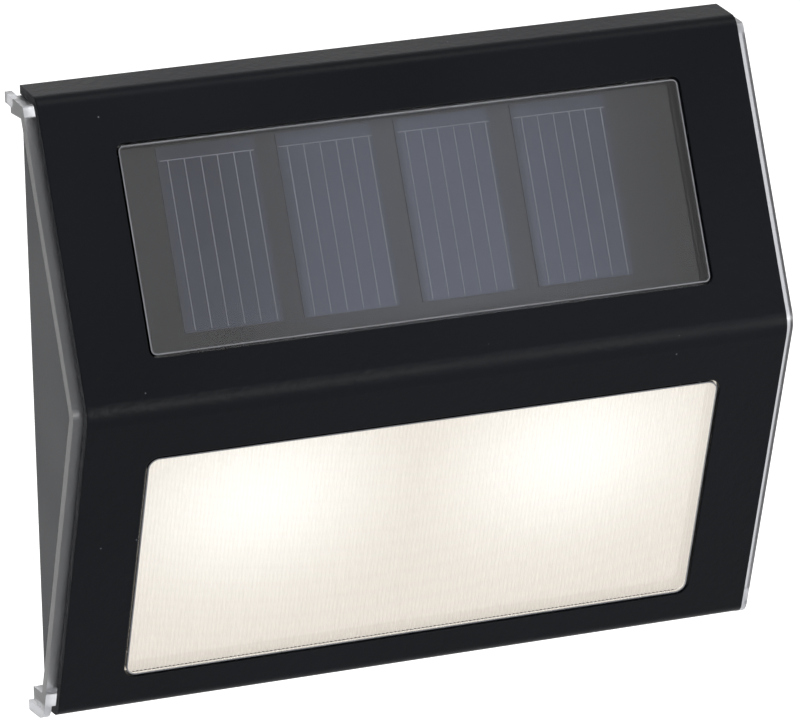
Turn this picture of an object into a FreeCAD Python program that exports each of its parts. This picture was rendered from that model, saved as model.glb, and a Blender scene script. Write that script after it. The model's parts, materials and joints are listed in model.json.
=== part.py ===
import FreeCAD, Part
import math
import os
from FreeCAD import Placement, Rotation, Vector

# Solar fence light, in millimetres. X runs to the right, Y into the wall, Z up. The wall is the plane y = 0
# and the origin is the middle of the back. "Depth" is the distance out from the wall, so depth d lies at
# y = -d. An outline in the side view is a list of (depth, z, radius) corners, and a prism carries it along X.

# ---------------------------------------------------------------- driving dimensions
SHELL_WIDTH = 110.0          # across the clear shell, the widest piece
COVER_INSET = 1.6            # the cover stops this far inside each end of the shell
HOUSING_INSET = 1.9
TOP_REAR = (1.8, 45.6)       # side view corners of the cover's outer face, as (depth, z)
TOP_FRONT = (8.1, 44.9)
APEX = (24.25, 3.0)
BOTTOM_FRONT = (7.45, -44.6)
BOTTOM_REAR_DEPTH = 3.2
SHEET = 1.2                  # coated steel
TOP_BEND = 2.0               # outer radii of the folds
MID_BEND = 5.0
BOTTOM_BEND = 1.8
FIT_GAP = 0.1                # between pieces that lie on each other along a curve

COVER_WIDTH = SHELL_WIDTH - 2 * COVER_INSET
HOUSING_WIDTH = SHELL_WIDTH - 2 * HOUSING_INSET
UPPER_LENGTH = math.dist(TOP_FRONT, APEX)
LOWER_LENGTH = math.dist(APEX, BOTTOM_FRONT)

# Each window is a width, a start and an end down its face, and a corner radius.
SOLAR_WINDOW = (COVER_WIDTH - 20.8, 7.5, UPPER_LENGTH - 7.3, 1.2)
LENS_WINDOW = (COVER_WIDTH - 18.8, 7.8, LOWER_LENGTH - 5.0, 2.0)
PAD_GAP = 0.35               # clear pad to window edge
PAD_SUNK = 0.15              # pad face below the cover's face

CLEAR_WALL = 1.5
LIP_WIDTH = 1.05             # the clear shell's end lips
FOOT_Z = BOTTOM_FRONT[1] - 0.8            # underside of the feet
FOOT_THICK = 1.5
SHELL_REAR = 2.2             # depth where the shell's top and bottom walls end between the feet
FOOT_CORNER = 2.5
ROOT = 0.3                   # how far one feature reaches into the next where they are one piece

HOUSING_TOP = TOP_REAR[1] - 3.8
HOUSING_BOTTOM = BOTTOM_FRONT[1] + 3.4
HOUSING_WALL = 1.6
REAR_WALL = 1.8
HOUSING_EDGE = 2.0           # rounding of the back edges
GASKET_THICK = 0.8           # lies in a groove in the housing's rim
RIM_LIP = 0.35
LEDGE_THICK = 1.6

HOUSING_SCREW_X = HOUSING_WIDTH / 2 - 5.4
HOUSING_SCREW_Z = (29.5, -32.5)
HOUSING_SCREW_LENGTH = 5.9
SCREW_HEAD = (1.9, 1.3)      # radius and height
SCREW_SHANK = 0.9
SCREW_SLOT = (1.1, 0.22, 0.7)             # half length, half width and depth of the cross recess
HEAD_SEAT = 2.3              # depth of the face that the screw heads sit on
PILOT_RADIUS = 0.95
PILOT_DEPTH = 3.2
BOSS_RADIUS = 2.1
BOSS_END = 4.2               # depth where the shell's bosses start
POST_RADIUS = 2.7

BATTERY_DIAMETER = 14.5      # one AA cell, lying across
BATTERY_LENGTH = 49.2
BATTERY_NUB = (2.75, 1.3)    # radius and height of the positive end
BATTERY_AT = (BATTERY_DIAMETER / 2 + 2.05, 1.0)     # depth and z of its axis
BAY_CLEARANCE = 0.3
BAY_WALL = 1.0
BAY_LENGTH = BATTERY_LENGTH + 8.4
CONTACT_THICK = 0.4
CONTACT_TAIL = 4.0           # width of the tail that a lead is soldered to
CONTACT_BLADE = 9.0
SPRING_WIRE = 0.35           # radii of the wire and of the coil
SPRING_RADIUS = 3.2
SPRING_TURNS = 3
DOOR_SIZE = (BAY_LENGTH + 16.4, BATTERY_DIAMETER + 7.5)
DOOR_THICK = 1.2
DOOR_SUNK = 0.1
DOOR_GAP = 0.35
DOOR_CORNER = 2.0
DOOR_SCREW_X = DOOR_SIZE[0] / 2 - 2.7
DOOR_SCREW_HEAD = 2.0        # radius of the countersunk head
DOOR_POST_RADIUS = 2.4
SEAL_THICK = 0.6
SEAL_WIDTH = 1.4
SEAL_OUTLINE = (BAY_LENGTH + 5.0, DOOR_SIZE[1] - 2.0)

KEYHOLE_SPACING = 80.0
KEYHOLE_Z = 21.0
KEYHOLE_ENTRY = 4.0          # radius for the screw head
KEYHOLE_SLOT = 2.1           # half width for the shank
KEYHOLE_TRAVEL = 6.5
KEYHOLE_POCKET = 4.6         # depth behind the rear wall

# Flat pieces are a width, a height and a thickness.
PANEL_SIZE = (SOLAR_WINDOW[0] + 2.6, SOLAR_WINDOW[2] - SOLAR_WINDOW[1] + 3.9, 1.6)
PANEL_START = SOLAR_WINDOW[1] - 1.9       # down the upper face
PANEL_STANDOFF = 0.5         # foam frame between the panel and the clear plate
PANEL_TOUCH = 0.01           # the battery bay's roof may touch the panel's back, but goes no deeper
PANEL_FRAME_WIDTH = (1.0, 1.4)            # at the sides, and at the top and bottom
CELL_COUNT = 4
CELL_PITCH = (SOLAR_WINDOW[0] - 14.4) / CELL_COUNT
CELL_SIZE = (CELL_PITCH - 3.1, PANEL_SIZE[1] - 7.9, 0.25)
CELL_SHIFT = -2.3            # the row sits left of the middle, clear of the lead pads
CELL_START = SOLAR_WINDOW[1] + 1.0

DIFFUSER_SIZE = (LENS_WINDOW[0] + 1.2, LENS_WINDOW[2] - LENS_WINDOW[1] + 1.6, 1.2)
DIFFUSER_START = LENS_WINDOW[1] - 1.3
TRAY_WIDTH = DIFFUSER_SIZE[0] + 0.6
TRAY_WALL = 1.0
TRAY_BACK = 3.7              # depth of the tray's back face, in front of the door's ledge
TRAY_SHOULDER = (13.2, -8.8) # corner that clears the battery bay
LED_SPACING = LENS_WINDOW[0] - 40.0
LED_Z = -13.5
LED_BOARD = (LED_SPACING + 12.0, 7.0, 1.0)
LED_BODY = (3.5, 2.8, 0.7)
LED_DOME = 1.2
LED_LEAD_START = LED_BOARD[0] / 2 - 3.5
LED_LEAD_NEAR = max(BAY_LENGTH / 2 + 4.2, LED_LEAD_START + 6.5)     # the leads pass beside the battery bay
LED_LEAD_X = (LED_LEAD_NEAR, LED_LEAD_NEAR + 2.0)
LED_LEAD_DEPTH = 9.5

CIRCUIT_BOARD = (50.0, 18.0, 1.0)
CIRCUIT_AT = (5.2, 24.6)     # depth of its back face and z of its middle
BOARD_SCREW_X = CIRCUIT_BOARD[0] / 2 - 3.5
BOARD_SCREW = (1.6, 0.75)    # head and shank radii
CHIP_AT = (-6.0, CIRCUIT_AT[1] - 3.0)
CHIP_SIZE = (4.9, 3.9, 1.5)
CHIP_LEG_PITCH = 1.27
COIL_AT = (4.0, CIRCUIT_AT[1] - 4.6)
COIL = (2.4, 1.7, 3.0, 0.7)  # flange and core radii, height, flange thickness
CAPACITOR_AT = (12.0, CIRCUIT_AT[1] - 4.5)
CAPACITOR_SIZE = (3.2, 1.8, 1.4)
RESISTOR_AT = (-14.0, CIRCUIT_AT[1] + 2.5)          # the first of a row
RESISTOR_SIZE = (2.0, 1.2, 0.5)
RESISTOR_PITCH = 3.0
RESISTOR_COUNT = 3
SWITCH_AT = (0.0, CIRCUIT_AT[1] + 2.4)
SWITCH_BODY = (8.6, 4.4)
SWITCH_TRAVEL = 2.2
KNOB = (1.9, 1.9)
KNOB_SUNK = 0.35
KNOB_ROOM = 0.4              # past each end of the knob's travel
KNOB_GAP = 0.35              # above and below the knob
KNOB_GROOVE = (0.6, 0.12, 0.25)           # pitch, half width and depth
SWITCH_POCKET = (13.0, 7.0, 0.9)

LEAD_RADIUS = 0.6
SOLAR_LEAD_X = 16.0
SOLAR_LEAD_DOWN = (21.5, 24.5)            # down the upper face, on the panel's back

COVER_HALF = COVER_WIDTH / 2
SHELL_HALF = SHELL_WIDTH / 2
HOUSING_HALF = HOUSING_WIDTH / 2
SHELL_FRONT_OFFSET = SHEET + FIT_GAP
SHELL_BACK_OFFSET = SHELL_FRONT_OFFSET + CLEAR_WALL
RIM_OFFSET = SHELL_BACK_OFFSET + 0.05     # front edge of the housing, under the clear plate
PANEL_FRONT = SHELL_BACK_OFFSET + PANEL_STANDOFF
DIFFUSER_FRONT = SHELL_BACK_OFFSET + FIT_GAP
DIFFUSER_BACK = DIFFUSER_FRONT + DIFFUSER_SIZE[2]
LED_BOARD_BACK = TRAY_BACK + TRAY_WALL
LED_BOARD_FRONT = LED_BOARD_BACK + LED_BOARD[2]
CIRCUIT_FRONT = CIRCUIT_AT[0] + CIRCUIT_BOARD[2]
DOOR_FLOOR = DOOR_SUNK + DOOR_THICK + SEAL_THICK    # depth of the ledge that the seal sits on
DOOR_LEDGE = DOOR_FLOOR + LEDGE_THICK
BAY_RADIUS = BATTERY_DIAMETER / 2 + BAY_CLEARANCE
BATTERY_LEFT = -BAY_LENGTH / 2 + CONTACT_THICK      # the nub stands against the left contact
TAIL_TOP = BAY_RADIUS + BAY_WALL + 1.2    # end of a contact's tail above the cell's axis
FAR = 80.0                   # longer than the object, for cutting tools


# ---------------------------------------------------------------- helpers
def at(x, depth, z):
    """A point from its place across, its distance out from the wall and its height."""
    return Vector(x, -depth, z)


def outline(corners, x=0.0):
    """Closed side-view wire through (depth, z, radius) corners, each rounded by an arc of that radius."""
    edges = []
    starts = []
    ends = []
    mids = []
    count = len(corners)
    for i in range(count):
        d, z, radius = corners[i]
        here = Vector(0, d, z)
        before = Vector(0, corners[i - 1][0], corners[i - 1][1])
        after = Vector(0, corners[(i + 1) % count][0], corners[(i + 1) % count][1])
        back = (before - here).normalize()
        ahead = (after - here).normalize()
        half = back.getAngle(ahead) / 2
        reach = radius / math.tan(half)
        middle = (back + ahead).normalize()
        starts.append(here + back * reach)
        ends.append(here + ahead * reach)
        mids.append(here + middle * (radius / math.sin(half) - radius))
    for i in range(count):
        if corners[i][2] > 0:
            edges.append(Part.Arc(*[at(x, p.y, p.z) for p in (starts[i], mids[i], ends[i])]).toShape())
        a = ends[i]
        b = starts[(i + 1) % count]
        if (a - b).Length > 1e-6:
            edges.append(Part.LineSegment(at(x, a.y, a.z), at(x, b.y, b.z)).toShape())
    return Part.Wire(Part.__sortEdges__(edges))


def prism(corners, x0, x1):
    """The side-view outline carried along X from x0 to x1."""
    corners = [tuple(c) if len(c) == 3 else (c[0], c[1], 0.0) for c in corners]
    return Part.Face(outline(corners, x0)).extrude(Vector(x1 - x0, 0, 0))


def crossing(p, u, q, v):
    """Where the line through p along u meets the line through q along v, in the side view."""
    t = ((q[0] - p[0]) * v[1] - (q[1] - p[1]) * v[0]) / (u[0] * v[1] - u[1] * v[0])
    return (p[0] + t * u[0], p[1] + t * u[1])


def direction(p, q):
    length = math.hypot(q[0] - p[0], q[1] - p[1])
    return ((q[0] - p[0]) / length, (q[1] - p[1]) / length)


def moved_lines(points, distances):
    """Each side of a path moved to the right of its travel by its own distance: (point, direction) pairs."""
    lines = []
    for i, distance in enumerate(distances):
        u = direction(points[i], points[(i + 1) % len(points)])
        lines.append(((points[i][0] + u[1] * distance, points[i][1] - u[0] * distance), u))
    return lines


PROFILE = [TOP_REAR, TOP_FRONT, APEX, BOTTOM_FRONT, (BOTTOM_REAR_DEPTH, BOTTOM_FRONT[1])]


def inner_path(offset, first_depth, last_depth):
    """The cover's profile moved inwards by an offset, from one depth on top to another at the bottom."""
    lines = moved_lines(PROFILE, [offset] * 4)
    upright = (0.0, 1.0)
    path = [crossing(*lines[0], (first_depth, 0.0), upright)]
    for a, b in zip(lines, lines[1:]):
        path.append(crossing(*a, *b))
    path.append(crossing(*lines[3], (last_depth, 0.0), upright))
    return path


def bent_strip(outer_offset, thickness, first_depth, last_depth, x0, x1):
    """A sheet that follows the cover's profile at a constant distance, with concentric bends."""
    outer = inner_path(outer_offset, first_depth, last_depth)
    inner = inner_path(outer_offset + thickness, first_depth, last_depth)
    bends = [TOP_BEND, MID_BEND, BOTTOM_BEND]
    corners = [(*outer[0], 0.0)]
    corners += [(*outer[i + 1], max(bends[i] - outer_offset, 0.3)) for i in range(3)]
    corners += [(*outer[4], 0.0), (*inner[4], 0.0)]
    corners += [(*inner[i + 1], max(bends[i] - outer_offset - thickness, 0.3)) for i in (2, 1, 0)]
    corners += [(*inner[0], 0.0)]
    return prism(corners, x0, x1)


def inside_of(offset, x0, x1, low, high):
    """Everything between the wall and the cover's two slanted faces moved inwards by an offset."""
    upper, lower = moved_lines(PROFILE, [0, offset, offset, 0])[1:3]
    level = (1.0, 0.0)
    tip = crossing(*upper, *lower)
    top = crossing(*upper, (0.0, high), level)
    bottom = crossing(*lower, (0.0, low), level)
    bend = max(MID_BEND - offset, 0.3)
    return prism([(0, high), top, (*tip, bend), bottom, (0, low)], x0, x1)


class SlantedFace:
    """A frame on one slanted face: x across, y down the face from its upper corner, z out of the face."""

    def __init__(self, upper, lower):
        self.upper = upper
        self.down = direction(upper, lower)
        turn = math.degrees(math.atan2(-self.down[1], self.down[0]))
        self.place = Placement(at(0, *upper), Rotation(Vector(1, 0, 0), turn))

    def point(self, down, sunk):
        """Side-view point that far down the face and that far behind it."""
        return (self.upper[0] + self.down[0] * down + self.down[1] * sunk,
                self.upper[1] + self.down[1] * down - self.down[0] * sunk)

    def slab(self, x0, x1, start, end, front, back, corner=0.0):
        """A flat piece between two distances behind the face, with rounded corners."""
        shape = plate(x0, x1, -end, -start, corner, -back, -front)
        shape.Placement = self.place
        return shape


def plate(x0, x1, y0, y1, corner, z0, z1):
    """A flat block in its own frame whose four upright edges are rounded."""
    if corner <= 0:
        return Part.makeBox(x1 - x0, y1 - y0, z1 - z0, Vector(x0, y0, z0))
    spots = [(x0, y0, 180), (x1, y0, 270), (x1, y1, 0), (x0, y1, 90)]
    edges = []
    last = None
    first = None
    for x, y, start in spots:
        cx = x + corner if x == x0 else x - corner
        cy = y + corner if y == y0 else y - corner
        ring = [Vector(cx + corner * math.cos(math.radians(start + a)),
                       cy + corner * math.sin(math.radians(start + a)), z0) for a in (0, 45, 90)]
        if last is not None:
            edges.append(Part.LineSegment(last, ring[0]).toShape())
        else:
            first = ring[0]
        edges.append(Part.Arc(*ring).toShape())
        last = ring[2]
    edges.append(Part.LineSegment(last, first).toShape())
    return Part.Face(Part.Wire(edges)).extrude(Vector(0, 0, z1 - z0))


def wall_plate(x0, x1, low, high, corner, near, far):
    """A flat block parallel to the wall, between two depths."""
    shape = plate(x0, x1, low, high, corner, near, far)
    shape.Placement = Placement(Vector(0, 0, 0), Rotation(Vector(1, 0, 0), 90))
    return shape


def rod(x, z, radius, near, far):
    """A cylinder square to the wall, between two depths."""
    return Part.makeCylinder(radius, far - near, at(x, near, z), Vector(0, -1, 0))


def cone(x, z, near_radius, far_radius, near, far):
    return Part.makeCone(near_radius, far_radius, far - near, at(x, near, z), Vector(0, -1, 0))


def joined(shapes):
    result = shapes[0].fuse(shapes[1:]) if len(shapes) > 1 else shapes[0]
    return result.removeSplitter()


def lead(points):
    """A wire along straight runs joined by arcs as large as the runs allow."""
    spots = [Vector(*p) for p in points]
    edges = []
    last = spots[0]
    for i in range(1, len(spots) - 1):
        back = spots[i - 1] - spots[i]
        ahead = spots[i + 1] - spots[i]
        shorter = min(back.Length, ahead.Length)
        back.normalize()
        ahead.normalize()
        half = back.getAngle(ahead) / 2
        reach = 0.45 * shorter
        radius = reach * math.tan(half)
        start = spots[i] + back * reach
        end = spots[i] + ahead * reach
        middle = spots[i] + (back + ahead).normalize() * (radius / math.sin(half) - radius)
        edges.append(Part.LineSegment(last, start).toShape())
        edges.append(Part.Arc(start, middle, end).toShape())
        last = end
        print("  bend radius", round(radius, 2))
    edges.append(Part.LineSegment(last, spots[-1]).toShape())
    path = Part.Wire(edges)
    ring = Part.makeCircle(LEAD_RADIUS, spots[0], spots[1] - spots[0])
    tube = path.makePipeShell([Part.Wire([ring])], True, False)
    print("  lead length", round(path.Length, 1), "volume over section", round(tube.Volume
          / (math.pi * LEAD_RADIUS ** 2 * path.Length), 4))
    return tube


UPPER = SlantedFace(TOP_FRONT, APEX)
LOWER = SlantedFace(APEX, BOTTOM_FRONT)


def window(face, size, gap, front, back):
    """The block that fills a window, less a gap all round."""
    width, start, end, corner = size
    half = width / 2 - gap
    return face.slab(-half, half, start + gap, end - gap, front, back, corner - gap)


# ---------------------------------------------------------------- outer pieces
def front_cover():
    """One sheet folded three times and pierced by two windows."""
    sheet = bent_strip(0.0, SHEET, TOP_REAR[0], BOTTOM_REAR_DEPTH, -COVER_HALF, COVER_HALF)
    sheet = sheet.cut(window(UPPER, SOLAR_WINDOW, 0.0, -1.0, SHEET + 1.0))
    return sheet.cut(window(LOWER, LENS_WINDOW, 0.0, -1.0, SHEET + 1.0))


def end_lip():
    """Side view of one end of the clear shell: a band along the profile, from a tab on top to a foot."""
    outer = inner_path(SHELL_FRONT_OFFSET, 0.0, 0.0)
    inner = inner_path(SHELL_BACK_OFFSET, 0.0, 0.0)
    level = (1.0, 0.0)
    lower_outer, lower_inner = [moved_lines(PROFILE, [0, 0, o, 0])[2] for o in
                                (SHELL_FRONT_OFFSET, SHELL_BACK_OFFSET)]
    foot_outer = crossing(*lower_outer, (0.0, FOOT_Z), level)
    foot_inner = crossing(*lower_inner, (0.0, FOOT_Z + FOOT_THICK), level)
    apex_bend = MID_BEND - SHELL_FRONT_OFFSET
    return [outer[0], (*outer[1], TOP_BEND), (*outer[2], apex_bend), (*foot_outer, FOOT_CORNER),
            (0.0, FOOT_Z), (0.0, FOOT_Z + FOOT_THICK), foot_inner,
            (*inner[2], apex_bend - CLEAR_WALL), inner[1], inner[0]]


def clear_front_shell():
    """Clear plate behind the cover with pads in both windows, end lips with feet, ribs and screw bosses."""
    offset = SHELL_BACK_OFFSET - ROOT
    inner = inner_path(offset, SHELL_REAR, SHELL_REAR)
    upper_line, lower_line = moved_lines(PROFILE, [0, offset, offset, 0])[1:3]
    level = (1.0, 0.0)
    rib_low = HOUSING_TOP + FIT_GAP
    rib_high = HOUSING_BOTTOM - FIT_GAP
    top_rib = [(SHELL_REAR, rib_low), inner[0], inner[1], crossing(*upper_line, (0.0, rib_low), level)]
    bottom_rib = [(SHELL_REAR, rib_high), crossing(*lower_line, (0.0, rib_high), level), inner[3], inner[4]]
    shapes = [bent_strip(SHELL_FRONT_OFFSET, CLEAR_WALL, SHELL_REAR, SHELL_REAR, -SHELL_HALF, SHELL_HALF),
              prism(top_rib, -SHELL_HALF, SHELL_HALF),
              prism(bottom_rib, -SHELL_HALF, SHELL_HALF),
              window(UPPER, SOLAR_WINDOW, PAD_GAP, PAD_SUNK, SHELL_FRONT_OFFSET + 0.5),
              window(LOWER, LENS_WINDOW, PAD_GAP, PAD_SUNK, SHELL_FRONT_OFFSET + 0.5)]
    block_front = crossing(*lower_line, (0.0, FOOT_Z + FOOT_THICK), level)
    block = [(SHELL_REAR, FOOT_Z + FOOT_THICK - 0.2), (SHELL_REAR, rib_high, 0.8),
             crossing(*lower_line, (0.0, rib_high), level), (block_front[0], FOOT_Z + FOOT_THICK - 0.2)]
    for side in (-1, 1):
        tip = side * SHELL_HALF
        shapes.append(prism(end_lip(), *sorted((tip, tip - side * LIP_WIDTH))))
        shapes.append(prism(block, *sorted((tip - side * 0.4, tip - side * LIP_WIDTH))))
        for z in HOUSING_SCREW_Z:
            reach = inside_of(SHELL_BACK_OFFSET - ROOT, -FAR, FAR, HOUSING_BOTTOM, HOUSING_TOP)
            shapes.append(rod(side * HOUSING_SCREW_X, z, BOSS_RADIUS, BOSS_END, FAR).common(reach))
    shell = joined(shapes)
    pilots = [rod(side * HOUSING_SCREW_X, z, PILOT_RADIUS, BOSS_END - 1, BOSS_END + PILOT_DEPTH)
              for side in (-1, 1) for z in HOUSING_SCREW_Z]
    return shell.cut(pilots)


def frame_ring(offset, thickness, outer_inset, inner_inset):
    """A frame just under the clear plate, between two distances in from the housing's sides."""
    def block(inset, cut_offset):
        return inside_of(cut_offset, -HOUSING_HALF + inset, HOUSING_HALF - inset,
                         HOUSING_BOTTOM + inset, HOUSING_TOP - inset)
    ring = block(outer_inset, offset)
    ring = ring.cut(inside_of(offset + thickness, -FAR, FAR, HOUSING_BOTTOM, HOUSING_TOP))
    return ring.cut(block(inner_inset, 0.0))


def bay(radius, half, near):
    """The battery bay: a half round trough lying across, open towards the wall."""
    depth, z = BATTERY_AT
    box = Part.makeBox(2 * half, depth - near, 2 * radius, at(-half, depth, z - radius))
    return box.fuse(Part.makeCylinder(radius, 2 * half, at(-half, depth, z), Vector(1, 0, 0)))


def keyhole(x):
    """Round entry for a screw head with a narrow slot above it."""
    entry = rod(x, KEYHOLE_Z, KEYHOLE_ENTRY, -1, REAR_WALL + 1)
    half = KEYHOLE_SLOT
    end = KEYHOLE_Z + KEYHOLE_TRAVEL + half
    slot = wall_plate(x - half, x + half, KEYHOLE_Z, end, half - 0.05, -1, REAR_WALL + 1)
    return entry.fuse(slot)


def keyhole_pocket(x, grow, near, far):
    """The blind pocket that the screw head moves in."""
    half = KEYHOLE_ENTRY + 0.6 + grow
    top = KEYHOLE_Z + KEYHOLE_TRAVEL + half
    return wall_plate(x - half, x + half, KEYHOLE_Z - half, top, 1.5, near, far)


def knob_way(corner, near, far):
    """The slot that the switch knob slides along."""
    x, z = SWITCH_AT
    half_x, half_z = KNOB[0] / 2 + KNOB_ROOM, KNOB[1] / 2 + KNOB_GAP
    return wall_plate(x - SWITCH_TRAVEL - half_x, x + half_x, z - half_z, z + half_z, corner, near, far)


def rear_housing():
    """Grey box: walls, keyholes, battery bay, switch slot, screw posts and a groove for the gasket."""
    box = wall_plate(-HOUSING_HALF, HOUSING_HALF, HOUSING_BOTTOM, HOUSING_TOP, 1.2, 0.0, 28.0)
    back_edges = [e for e in box.Edges if abs(e.BoundBox.YMin) < 1e-6 and abs(e.BoundBox.YMax) < 1e-6]
    box = box.makeFillet(HOUSING_EDGE, back_edges)
    box = box.common(inside_of(RIM_OFFSET, -FAR, FAR, HOUSING_BOTTOM - 1, HOUSING_TOP + 1))
    inner_half = HOUSING_HALF - HOUSING_WALL
    inside = wall_plate(-inner_half, inner_half, HOUSING_BOTTOM + HOUSING_WALL, HOUSING_TOP - HOUSING_WALL,
                        1.0, REAR_WALL, FAR)
    box = box.cut(inside)
    depth, bay_z = BATTERY_AT
    half_x, half_z = DOOR_SIZE[0] / 2 + DOOR_GAP, DOOR_SIZE[1] / 2 + DOOR_GAP
    ledge_x, ledge_z = half_x + 1.2, half_z + 1.2
    additions = [wall_plate(-ledge_x, ledge_x, bay_z - ledge_z, bay_z + ledge_z, DOOR_CORNER,
                            REAR_WALL - ROOT, DOOR_LEDGE),
                 bay(BAY_RADIUS + BAY_WALL, BAY_LENGTH / 2 + BAY_WALL, DOOR_FLOOR + ROOT)]
    switch_x, switch_z = SWITCH_AT
    pocket_x, pocket_z, pocket_deep = SWITCH_POCKET
    for side in (-1, 1):
        additions.append(keyhole_pocket(side * KEYHOLE_SPACING / 2, 1.0, REAR_WALL - ROOT,
                                        REAR_WALL + KEYHOLE_POCKET + 1.0))
        additions.append(rod(side * DOOR_SCREW_X, bay_z, DOOR_POST_RADIUS, DOOR_FLOOR + ROOT,
                             DOOR_LEDGE + PILOT_DEPTH + 0.8))
        additions.append(rod(side * BOARD_SCREW_X, CIRCUIT_AT[1], 2.0, REAR_WALL - ROOT, CIRCUIT_AT[0]))
        for z in HOUSING_SCREW_Z:
            additions.append(rod(side * HOUSING_SCREW_X, z, POST_RADIUS, 0.5, BOSS_END - 0.05))
    body = joined([box] + additions)
    cuts = [frame_ring(RIM_OFFSET - 1.0, GASKET_THICK + 1.0, RIM_LIP, HOUSING_WALL - RIM_LIP),
            UPPER.slab(-PANEL_SIZE[0] / 2, PANEL_SIZE[0] / 2, PANEL_START, PANEL_START + PANEL_SIZE[1],
                       PANEL_FRONT, PANEL_FRONT + PANEL_SIZE[2] - PANEL_TOUCH),
            wall_plate(-half_x, half_x, bay_z - half_z, bay_z + half_z, DOOR_CORNER, -1.0, DOOR_FLOOR),
            bay(BAY_RADIUS, BAY_LENGTH / 2, -1.0),
            wall_plate(switch_x - pocket_x / 2, switch_x + pocket_x / 2, switch_z - pocket_z / 2,
                       switch_z + pocket_z / 2, 1.5, -1.0, pocket_deep),
            knob_way(0.6, -1.0, REAR_WALL + 1)]
    for side in (-1, 1):
        x = side * KEYHOLE_SPACING / 2
        cuts += [keyhole(x), keyhole_pocket(x, 0.0, REAR_WALL, REAR_WALL + KEYHOLE_POCKET)]
        cuts.append(rod(side * DOOR_SCREW_X, bay_z, PILOT_RADIUS, 0.0, DOOR_LEDGE + PILOT_DEPTH))
        cuts.append(rod(side * BOARD_SCREW_X, CIRCUIT_AT[1], 0.8, REAR_WALL, CIRCUIT_AT[0] + 1))
        tail = side * (BAY_LENGTH / 2 - CONTACT_THICK / 2)
        cuts.append(Part.makeBox(CONTACT_THICK + 0.5, CONTACT_TAIL + 0.5, 4.0,
                                 at(tail - (CONTACT_THICK + 0.5) / 2, depth + CONTACT_TAIL / 2 + 0.25,
                                    bay_z + BAY_RADIUS - 1.5)))
        for z in HOUSING_SCREW_Z:
            x = side * HOUSING_SCREW_X
            cuts += [rod(x, z, SCREW_HEAD[0] + 0.2, -1.0, HEAD_SEAT),
                     rod(x, z, SCREW_SHANK + 0.15, -1.0, BOSS_END + 1)]
    return body.cut(cuts)


def housing_gasket():
    return frame_ring(RIM_OFFSET, GASKET_THICK - FIT_GAP, RIM_LIP + 0.05, HOUSING_WALL - RIM_LIP - 0.05)


def cross_recess(x, z, long_half, short_half, far):
    """The two slots of a cross recess, open towards the wall."""
    return [wall_plate(x - a, x + a, z - b, z + b, 0, -1, far)
            for a, b in ((long_half, short_half), (short_half, long_half))]


def pan_screw(x, z, head_near, length):
    """Pan head screw with a cross recess, driven away from the wall."""
    head = rod(x, z, SCREW_HEAD[0], head_near, head_near + SCREW_HEAD[1])
    edge = [e for e in head.Edges if abs(e.BoundBox.YMax + head_near) < 1e-6 and e.BoundBox.YLength < 1e-6]
    head = head.makeFillet(0.5, edge)
    body = joined([head, rod(x, z, SCREW_SHANK, head_near + SCREW_HEAD[1] - ROOT, head_near + length)])
    return body.cut(cross_recess(x, z, *SCREW_SLOT[:2], head_near + SCREW_SLOT[2]))


def housing_screws():
    spots = [(side * HOUSING_SCREW_X, z) for side in (-1, 1) for z in HOUSING_SCREW_Z]
    near = HEAD_SEAT - SCREW_HEAD[1]
    return Part.makeCompound([pan_screw(x, z, near, HOUSING_SCREW_LENGTH) for x, z in spots])


# ---------------------------------------------------------------- solar panel
def solar_panel_frame():
    """Foam adhesive frame between the clear plate and the panel, hidden behind the cover."""
    half = PANEL_SIZE[0] / 2
    end = PANEL_START + PANEL_SIZE[1]
    outer = UPPER.slab(-half, half, PANEL_START, end, SHELL_BACK_OFFSET, PANEL_FRONT, 1.0)
    side, level = PANEL_FRAME_WIDTH
    return outer.cut(UPPER.slab(side - half, half - side, PANEL_START + level, end - level, 0.0,
                                PANEL_FRONT + 1, 0.8))


def solar_panel_board():
    half = PANEL_SIZE[0] / 2
    return UPPER.slab(-half, half, PANEL_START, PANEL_START + PANEL_SIZE[1], PANEL_FRONT,
                      PANEL_FRONT + PANEL_SIZE[2], 1.0)


def solar_cells():
    cells = []
    for i in range(CELL_COUNT):
        middle = CELL_SHIFT + (i - (CELL_COUNT - 1) / 2) * CELL_PITCH
        cells.append(UPPER.slab(middle - CELL_SIZE[0] / 2, middle + CELL_SIZE[0] / 2, CELL_START,
                                CELL_START + CELL_SIZE[1], PANEL_FRONT - CELL_SIZE[2], PANEL_FRONT))
    return Part.makeCompound(cells)


# ---------------------------------------------------------------- light
def light_diffuser():
    half = DIFFUSER_SIZE[0] / 2
    return LOWER.slab(-half, half, DIFFUSER_START, DIFFUSER_START + DIFFUSER_SIZE[1], DIFFUSER_FRONT,
                      DIFFUSER_BACK, 2.0)


def tray_section(inset):
    """Side view of the tray; the front side opens outwards as the others close in."""
    front = DIFFUSER_BACK + FIT_GAP
    top = LOWER.point(DIFFUSER_START - 0.2, front)
    foot = LOWER.point(DIFFUSER_START + DIFFUSER_SIZE[1] - 0.5, front)
    corners = [top, foot, (TRAY_BACK, foot[1]), (TRAY_BACK, TRAY_SHOULDER[1]), TRAY_SHOULDER]
    if inset == 0:
        return corners
    lines = moved_lines(corners, [-1.0, inset, inset, inset, inset])
    return [crossing(*lines[i - 1], *lines[i]) for i in range(len(lines))]


def light_tray():
    """White tray that throws the light forwards, with a notch for the leads."""
    half = TRAY_WIDTH / 2
    tray = prism(tray_section(0), -half, half)
    tray = tray.cut(prism(tray_section(TRAY_WALL), -half + TRAY_WALL, half - TRAY_WALL))
    middle = sum(LED_LEAD_X) / 2
    notch = Part.makeBox(6.0, 3.0, 6.0, at(middle - 3.0, LED_LEAD_DEPTH + 1.5, TRAY_SHOULDER[1] - 3.0))
    return tray.cut(notch)


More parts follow.
